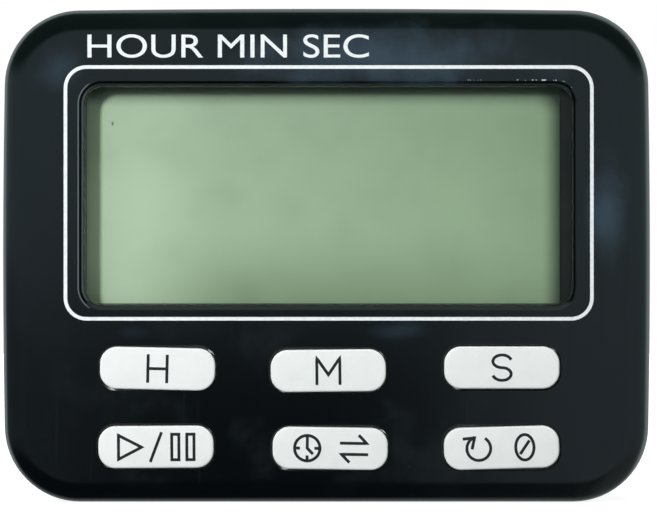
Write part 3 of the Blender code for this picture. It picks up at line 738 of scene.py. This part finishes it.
def battery_door(material):
    """A slice of the case's own skin on two rails, with grip ridges."""
    door = case_solid("battery_cover", 5.0)
    cut(
        door,
        block("door_front", (-BEYOND, BEYOND), (0, DOOR_UNDERSIDE), (-5, BEYOND)),
        block("door_below", (-BEYOND, BEYOND), (0, BEHIND), (-5, DOOR_FOOT)),
        block("door_right", (DOOR_HALF, BEYOND), (0, BEHIND), (-5, BEYOND)),
        block("door_left", (-BEYOND, -DOOR_HALF), (0, BEHIND), (-5, BEYOND)),
    )
    soften = door.modifiers.new("soft edges", "BEVEL")
    soften.width = 0.12 * MM
    soften.segments = 2
    soften.limit_method = "ANGLE"
    soften.angle_limit = math.radians(50)
    settle(door)
    parts = []
    for side in (-1, 1):
        web = sorted((side * 24.95, side * 26.15))
        rail = sorted((side * 25.05, side * 28.0))
        parts.append(block(f"web_{side}", web, (17.3, DOOR_UNDERSIDE + 0.3), (50.0, 61.9)))
        parts.append(block(f"rail_{side}", rail, (17.35, 18.1), (50.1, 61.8)))
    for i in range(5):
        z = DOOR_FOOT + 2.6 + i * 1.25
        reach = 7.0 - 0.35 * i
        parts.append(plate(f"ridge_{i}", (0.0, z), (reach, 0.28), (19.6, 20.25), 0.25, 0.0, 0.2, 4, 3))
    join(door, *parts)
    dress(door, "door", "case_black", material, "battery_door")


def stand(material):
    """The fold-out leg: a ribbed plate on a barrel, with a notch for a nail at its foot."""
    height = STAND_AXIS_Z - 0.2 - STAND_FOOT
    centre = (0.0, STAND_FOOT + height / 2)
    leg = plate("stand_leg", centre, (STAND_HALF, height / 2), (18.1, 19.85), 0.7, 0.2, 0.35, 6, 3)
    barrel = rod_along_x("barrel", STAND_HALF, STAND_AXIS_DEPTH, STAND_AXIS_Z, 1.6, 0.2)
    pins = rod_along_x("pins", 14.7, STAND_AXIS_DEPTH, STAND_AXIS_Z, 0.85, 0.15, 24)
    join(leg, barrel, pins)
    hollow = plate("hollow", (0.0, 18.4), (STAND_HALF - 2.4, 7.6), (19.35, 22), 1.0)
    notch = post("notch", (0.0, STAND_FOOT), (17, BEHIND), 4.5, 48)
    cut(leg, hollow, notch)
    rib = ((0.35, 7.8), (19.2, 19.75), 0.3, 0, 0.2, 4, 3)
    join(leg, *[plate(f"rib_{i}", (x, 18.4), *rib) for i, x in enumerate(STAND_RIBS)])
    dress(leg, "stand", "case_black", material, "stand")


# Caps and prints


def cap_centre(name):
    """Where a cap has settled, as (x, z)."""
    low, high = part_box(f"button_{name}")
    right, up = SETTLED[name]
    return ((low.x + high.x) / 2 / MM + right, (low.z + high.z) / 2 / MM + up)


def cap_surface(inset):
    """Depth of a cap's front that far in from its edge."""
    away = 1 - min(inset / CAP_HALF[1], 1.0)
    return -CAP_PROUD + CAP_CROWN * away * away


def twisted(obj, name):
    """Turns the mesh of obj about the cap's centre, as the cap has settled in its hole."""
    x, z = cap_centre(name)
    centre = at(x, 0, z)
    turn = Matrix.Rotation(math.radians(TWIST[name]), 4, "Y")
    obj.data.transform(Matrix.Translation(centre) @ turn @ Matrix.Translation(-centre))


def cap(name, material):
    """A crowned cap on its flange, with the stem that works the dome."""
    centre = cap_centre(name)
    insets = [2.5, 2.1, 1.6, 1.1, 0.75, CAP_EDGE]
    front = [(cap_surface(i), i) for i in insets]
    drop = cap_surface(CAP_EDGE)
    edge = [(drop + d, i) for i, d in quarter(CAP_EDGE, 6)[1:]]
    rings = [*front, *edge, (WALL + 0.4, 0.0)]
    outlines = [(d, box_outline(centre, CAP_HALF, max(CAP_CORNER, i + 0.08), -i)) for d, i in rings]
    made = loft(f"cap_{name}", outlines)
    half = (CAP_HALF[0] + FLANGE_LAP, CAP_HALF[1] + FLANGE_LAP)
    flange = plate(f"flange_{name}", centre, half, (WALL + 0.15, 2.75), 2.6)
    x, z = centre
    stem = block(f"stem_{name}", (x - 2, x + 2), (2.4, STEM_TIP), (z - 1.2, z + 1.2))
    join(made, flange, stem)
    twisted(made, name)
    dress(made, f"{name}_key", "button_white", material, f"button_{name}")


def dome(name, silicone, carbon):
    """A hollow dome and its pill. Returns their place."""
    low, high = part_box(f"contact_pill_{name}")
    x, z = (low.x + high.x) / 2 / MM, (low.z + high.z) / 2 / MM
    top = BOARD_SEAT - DOME_TIP
    foot = ((2.8, top), (DOME_RADIUS, top), (DOME_RADIUS, top - 0.6))
    profile = ((0.0, 0.5), (1.7, 0.5), *foot, (2.4, 0.0), (0.0, 0.0))
    made = turned(f"dome_{name}", profile, at(x, DOME_TIP, z), ALONG_DEPTH)
    pill = post(f"pill_{name}", (x, z), PILL, 1.4)
    dress(made, "case", "grey_silicone", silicone)
    dress(pill, "case", "carbon_pill", carbon, f"contact_pill_{name}")
    for piece in (made, pill):
        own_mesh(piece)
    return x, z


def keypad(silicone, carbon):
    """The silicone sheet behind the caps, open at each dome and at the board's two posts."""
    low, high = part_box("keypad_membrane")
    sheet = block("keypad_sheet", (low.x / MM, high.x / MM), SHEET, (low.z / MM, high.z / MM))
    for name in TWIST:
        cut(sheet, post(f"opening_{name}", dome(name, silicone, carbon), (6, 9), DOME_RADIUS + 0.05))
    for i, place in enumerate(BOARD_POSTS):
        cut(sheet, post(f"post_hole_{i}", place, (6, 9), 2.3))
    dress(sheet, "case", "grey_silicone", silicone, "keypad_membrane")


def line(*points):
    """A polyline with a point at least every 0.4 mm."""
    dense = [Vector(points[0])]
    for start, end in zip(points, points[1:]):
        start, end = Vector(start), Vector(end)
        steps = max(1, math.ceil((end - start).length / 0.4))
        dense += [start.lerp(end, i / steps) for i in range(1, steps + 1)]
    return dense


def arc(x, z, radii, start, end, steps=20):
    """Points along an ellipse between two angles in degrees."""
    angles = [math.radians(start + (end - start) * i / steps) for i in range(steps + 1)]
    return [Vector((x + radii[0] * math.cos(a), z + radii[1] * math.sin(a))) for a in angles]


def stroke(bm, points, width, depth_of):
    """A thin ribbon of ink along points, laid on a surface."""
    rows = []
    for i, point in enumerate(points):
        before, after = points[max(i - 1, 0)], points[min(i + 1, len(points) - 1)]
        along = ((point - before).normalized() + (after - point).normalized()).normalized()
        leg = after - point if i == 0 else point - before
        cosine = max(along.dot(leg.normalized()), 0.5)
        across = Vector((-along.y, along.x)) * (width / 2 / cosine)
        ends = along * width / 2 * ((i == len(points) - 1) - (i == 0))
        sides = [point + ends + across, point + ends - across]
        rows.append([bm.verts.new(at(p.x, depth_of(p) + d, p.y)) for d in (-INK, INK) for p in sides])
    for a, b in zip(rows, rows[1:]):
        for i, j in ((0, 1), (1, 3), (3, 2), (2, 0)):
            bm.faces.new((a[i], a[j], b[j], b[i]))
    for row in (rows[0], rows[-1]):
        bm.faces.new((row[0], row[1], row[3], row[2]))


def clock_sign(x):
    """A small dial with two hands and its four quarter marks."""
    ways = ((1, 0), (0, 1), (-1, 0), (0, -1))
    marks = [line((x + 1.55 * c, 1.55 * s), (x + 1.1 * c, 1.1 * s)) for c, s in ways]
    return [arc(x, 0, (1.6, 1.6), 0, 360, 36), line((x, 0.85), (x, 0), (x + 0.6, -0.6)), *marks]


def letter_s():
    """An S from two open arcs."""
    upper = arc(0, 0.8, (1.15, 0.8), 25, 270)
    lower = arc(0, -0.8, (1.15, 0.8), 90, -155)
    return [upper + lower[1:]]


def legends():
    """The strokes printed on each cap, in millimetres about its centre."""
    play = line((-4.7, 1.5), (-4.7, -1.5), (-1.8, 0), (-4.7, 1.5), (-4.7, 1.3))
    edges = ((2.0, 2.9), (3.9, 4.8))
    bars = [line((a, 1.6), (a, -1.6), (b, -1.6), (b, 1.6), (a, 1.6), (a, 1.4)) for a, b in edges]
    swap = [
        line((1.4, 0.7), (4.6, 0.7), (3.7, 1.6)),
        line((4.6, -0.7), (1.4, -0.7), (2.3, -1.6)),
    ]
    again = [arc(-2.9, 0, (1.5, 1.5), 50, -245, 32), line((-4.7, 1.25), (-3.4, 1.35), (-3.7, 0.1))]
    zero = [arc(2.9, 0, (1.15, 1.6), 0, 360, 36), line((2.4, -0.7), (3.4, 0.7))]
    return {
        "hour": [line((-1.2, 1.6), (-1.2, -1.6)), line((1.2, 1.6), (1.2, -1.6)), line((-1.2, 0), (1.2, 0))],
        "minute": [line((-1.45, -1.6), (-1.45, 1.6), (0, -0.5), (1.45, 1.6), (1.45, -1.6))],
        "second": letter_s(),
        "start_stop": [play, line((-0.65, -1.7), (0.65, 1.7)), *bars],
        "mode": [*clock_sign(-2.9), *swap],
        "clear": [*again, *zero],
    }


def legend(name, strokes, material):
    """The print on a cap, laid on its crowned front."""
    x, z = cap_centre(name)

    def depth_of(point):
        return cap_surface(min(CAP_HALF[0] - abs(point.x - x), CAP_HALF[1] - abs(point.y - z)))

    bm = bmesh.new()
    for points in strokes:
        stroke(bm, [p + Vector((x, z)) for p in points], LEGEND_WIDTH, depth_of)
    made = new_object(f"legend_{name}", bm)
    twisted(made, name)
    dress(made, f"{name}_key", "button_white", material)


def frame_line(material):
    """The white line printed round the window."""
    inner = (LINE_HALF[0] - LINE_WIDTH, LINE_HALF[1] - LINE_WIDTH)
    rings = []
    for half, corner, depth in (
        (LINE_HALF, LINE_CORNER, INK),
        (LINE_HALF, LINE_CORNER, -INK),
        (inner, LINE_CORNER - LINE_WIDTH, -INK),
        (inner, LINE_CORNER - LINE_WIDTH, INK),
    ):
        rings.append((depth, box_outline((WINDOW[0], WINDOW[1] + LINE_RISE), half, corner)))
    made = loft("window_line", rings, wrap=True)
    dress(made, "case", "button_white", material)


def title(material):
    """Unit names over the window, where a timer's face carries its heading."""
    letters = bpy.data.curves.new("letters", "FONT")
    letters.body = "HOUR MIN SEC"
    letters.extrude = INK
    text = bpy.data.objects.new("letters", letters)
    bpy.context.scene.collection.objects.link(text)
    bpy.context.view_layer.update()
    mesh = bpy.data.meshes.new_from_object(text.evaluated_get(bpy.context.evaluated_depsgraph_get()))
    bpy.data.objects.remove(text)
    low = Vector(min(v.co[k] for v in mesh.vertices) for k in range(3))
    high = Vector(max(v.co[k] for v in mesh.vertices) for k in range(3))
    scale = ((TITLE_RIGHT - TITLE_LEFT) / (high.x - low.x), TITLE_HEIGHT / (high.y - low.y))
    for v in mesh.vertices:
        x, z = TITLE_LEFT + (v.co.x - low.x) * scale[0], TITLE_FOOT + (v.co.y - low.y) * scale[1]
        v.co = at(x, -v.co.z, z)
    made = bpy.data.objects.new("heading", mesh)
    bpy.context.scene.collection.objects.link(made)
    dress(made, "case", "button_white", material)


def magnet(side, place, material):
    """A nickel-plated disc with a chamfered edge."""
    top = [(MAGNET_RADIUS - i, 1.95 - d) for i, d in quarter(0.25, 3)]
    profile = ((0.0, 1.95), *top, (MAGNET_RADIUS, 0.0), (0.0, 0.0))
    made = turned(f"magnet_disc_{side}", profile, at(place[0], 17.9, place[1]), ALONG_DEPTH, 64)
    dress(made, "case", "magnet_nickel", material, f"magnet_{side}")


# The timer

glossy = polished_black()
satin = satin_black()
white = cap_white()
white_ink = ink("white_ink", (0.87, 0.89, 0.9), (0.7, 0.72, 0.73))
black_ink = ink("black_ink", (0.012, 0.01, 0.012), (0.035, 0.03, 0.035))

front_shell(glossy)
rear_shell(satin)
battery_door(satin)
stand(satin)
for key, strokes in legends().items():
    cap(key, white)
    legend(key, strokes, black_ink)
frame_line(white_ink)
title(white_ink)

silicone = plain("silicone", (0.5, 0.51, 0.5), (0.44, 0.45, 0.44), (0.45, 0.6), 4.0, 0.2)
carbon = plain("carbon", (0.015, 0.015, 0.016), (0.03, 0.03, 0.03), (0.6, 0.8), 0.6, 0.1)
keypad(silicone, carbon)

nickel = plain("nickel", (0.68, 0.67, 0.63), (0.58, 0.56, 0.52), (0.2, 0.34), 2.0, 0.12, 1.0)
magnet_plate = plain("magnet_plate", (0.56, 0.57, 0.57), (0.5, 0.51, 0.51), (0.22, 0.3), 5.0, 0.1, 1.0)
for side, place in MAGNETS.items():
    magnet(side, place, magnet_plate)

clear = see_through("clear_lens", (0.99, 0.995, 0.99), (0.975, 0.982, 0.975), 1.22)
glass = see_through("display_glass", (0.99, 0.995, 0.985), (0.985, 0.99, 0.98), 1.06)
film = see_through("polarizer", (0.96, 0.975, 0.95), (0.95, 0.965, 0.94), 1.06, 0.25)
tin = plain("zinc", (0.62, 0.62, 0.63), (0.5, 0.5, 0.5), (0.28, 0.42), 1.2, 0.1, 1.0)
dark = plain("dark_moulding", (0.012, 0.013, 0.013), (0.022, 0.022, 0.022), (0.4, 0.55), 3.0, 0.15)
epoxy = plain("epoxy", (0.008, 0.008, 0.009), (0.016, 0.016, 0.018), (0.12, 0.3), 2.0, 0.5)
FINISHES = {
    "window_lens": clear,
    "lcd_front_glass": glass,
    "lcd_rear_glass": glass,
    "lcd_front_polarizer": film,
    "lcd_reflector": display_reflector(),
    "lcd_holder": dark,
    "zebra_strip": plain("zebra", (0.03, 0.032, 0.036), (0.05, 0.05, 0.055), (0.5, 0.7), 0.3, 0.06),
    "circuit_board": plain("laminate", (0.02, 0.17, 0.06), (0.03, 0.24, 0.09), (0.25, 0.4), 1.4, 0.1),
    "chip_blob": epoxy,
    "resistor": epoxy,
    "capacitor": plain("capacitor", (0.42, 0.3, 0.18), (0.34, 0.23, 0.13), (0.4, 0.55), 0.5, 0.08),
    "crystal_can": nickel,
    "board_screw": tin,
    "case_screw": tin,
    "battery_cell": cell_jacket(),
    "battery_contact": nickel,
    "battery_spring": nickel,
    "battery_wire_red": plain("red_sleeve", (0.45, 0.015, 0.015), (0.38, 0.01, 0.01), (0.35, 0.5), 1.5, 0.1),
    "buzzer_wire_red": plain("red_lead", (0.45, 0.015, 0.015), (0.38, 0.01, 0.01), (0.35, 0.5), 1.5, 0.1),
    "battery_wire_black": dark,
    "buzzer_wire_black": dark,
    "buzzer_disc": plain("brass", (0.72, 0.55, 0.24), (0.6, 0.43, 0.17), (0.22, 0.4), 2.5, 0.12, 1.0),
    "buzzer_ceramic": plain("silvered", (0.72, 0.71, 0.68), (0.64, 0.63, 0.6), (0.35, 0.5), 1.0, 0.08),
}
for name, node in nodes.items():
    for start, finish in FINISHES.items():
        if name.startswith(start):
            node.data.materials.clear()
            node.data.materials.append(finish)


# Studio


def floor():
    """A round pale table that the timer stands on. It glows for the camera, which sees it nearly white, and
    stays out of reflections."""
    bm = bmesh.new()
    bmesh.ops.create_circle(bm, cap_ends=True, segments=96, radius=0.62)
    sheet = new_object("floor", bm)
    look = Look("floor_paper", (0.27, 0.27, 0.27), 0.8, Emission_Color=(1.0, 1.0, 1.0, 1.0))
    seen = look.add("LightPath", {}).outputs["Is Camera Ray"]
    paper = look.blend(look.noise(60.0), (0.25, 0.25, 0.25), (0.29, 0.29, 0.29))
    sheet.data.materials.append(
        look.finish(Base_Color=paper, Emission_Strength=look.span(seen, (0.0, 1.0), (0.0, 0.88)))
    )
    sheet.visible_glossy = False


def area_light(name, place, size, power, colour=(1.0, 1.0, 1.0)):
    """A square light aimed at the middle of the timer and kept out of reflections. Place and size are in
    millimetres."""
    lamp = bpy.data.lights.new(name, "AREA")
    lamp.size = size * MM
    lamp.energy = power
    lamp.color = colour
    obj = bpy.data.objects.new(name, lamp)
    obj.location = Vector(place) * MM
    aim = Vector((0.0, 0.0, HEIGHT / 2)) * MM - obj.location
    obj.rotation_euler = aim.to_track_quat("-Z", "Y").to_euler()
    obj.visible_glossy = False
    bpy.context.scene.collection.objects.link(obj)


def studio_world():
    """A white backdrop for the camera. What reflects is a dim room: dark below and straight in front of the
    timer, and bright beside and behind it, as a pale table round it would be. It gives little fill light."""
    world = bpy.data.worlds.new("studio")
    world.use_nodes = True
    bpy.context.scene.world = world
    room = Look.on(world.node_tree)
    part = room.add("SeparateXYZ", {"Vector": room.add("TexCoord", {}).outputs["Generated"]}).outputs
    behind, up = part["Y"], part["Z"]
    ahead = room.math(room.math(behind, -1.0, "MULTIPLY"), 0.001, "MAXIMUM")
    x = room.math(part["X"], ahead, "DIVIDE")
    z = room.math(up, ahead, "DIVIDE")
    left = room.span(x, (-0.1, -0.045), (0.0, 1.0))
    right = room.span(x, (0.028, 0.062), (1.0, 0.0))
    below = room.span(z, (-0.026, -0.006), (1.0, 0.0))
    hand = room.math(room.math(left, right, "MULTIPLY"), below, "MULTIPLY")
    shade = room.math(room.span(x, (-0.04, 0.02), (0.75, 0.15)), below, "MULTIPLY")
    tone = room.blend(shade, (0.42, 0.56, 0.61), (0.075, 0.1, 0.135))
    tone = room.blend(hand, tone, (0.015, 0.025, 0.04))
    under = room.blend(room.span(part["X"], (0.0, 0.15), (0.0, 1.0)), (0.03, 0.04, 0.05), (0.12, 0.15, 0.16))
    under = room.blend(room.span(part["X"], (0.2, 0.5), (0.0, 1.0)), under, (0.3, 0.36, 0.37))
    tone = room.blend(room.span(up, (-0.15, -0.5), (0.0, 1.0)), tone, under)
    tone = room.blend(room.span(up, (0.1, 0.4), (0.0, 1.0)), tone, (0.08, 0.15, 0.125))
    lean = room.math(behind, room.span(part["X"], (-0.2, 0.2), (-0.16, 0.0)))
    pale = room.blend(room.span(up, (-0.3, -0.6), (0.0, 1.0)), (0.9, 1.08, 1.05), (0.3, 0.36, 0.35))
    tone = room.blend(room.span(lean, (0.15, 0.45), (0.0, 1.0)), tone, pale)
    tone = room.blend(room.span(behind, (0.6, 0.9), (0.0, 1.0)), tone, (0.42, 0.48, 0.48))
    ray = room.add("LightPath", {}).outputs
    tone = room.blend(ray["Is Diffuse Ray"], tone, (0.24, 0.25, 0.235))
    tone = room.blend(ray["Is Camera Ray"], tone, (1.0, 1.0, 1.0))
    room.tree.links.new(tone, room.tree.nodes["Background"].inputs["Color"])


def camera():
    """The camera straight in front of the face, level with its middle."""
    view = bpy.data.cameras.new("camera")
    view.sensor_width = 36.0
    view.lens = CAMERA_LENS
    obj = bpy.data.objects.new("camera", view)
    obj.location = Vector((CAMERA_X, FACE_Y - CAMERA_DISTANCE, CAMERA_Z)) * MM
    obj.rotation_euler = Euler((math.pi / 2, 0.0, 0.0))
    bpy.context.scene.collection.objects.link(obj)
    bpy.context.scene.camera = obj


floor()
studio_world()
area_light("key", (-145.0, -295.0, 106.0), 35.0, 0.79, (0.955, 0.985, 1.0))
area_light("overhead", (0.0, -120.0, 1100.0), 900.0, 8.5)
area_light("back_left", (-500.0, 600.0, 350.0), 400.0, 7.0)
area_light("back_right", (600.0, 500.0, 250.0), 300.0, 3.0)
camera()
bpy.context.scene.view_settings.view_transform = "Standard"
bpy.context.scene.cycles.transparent_max_bounces = 24
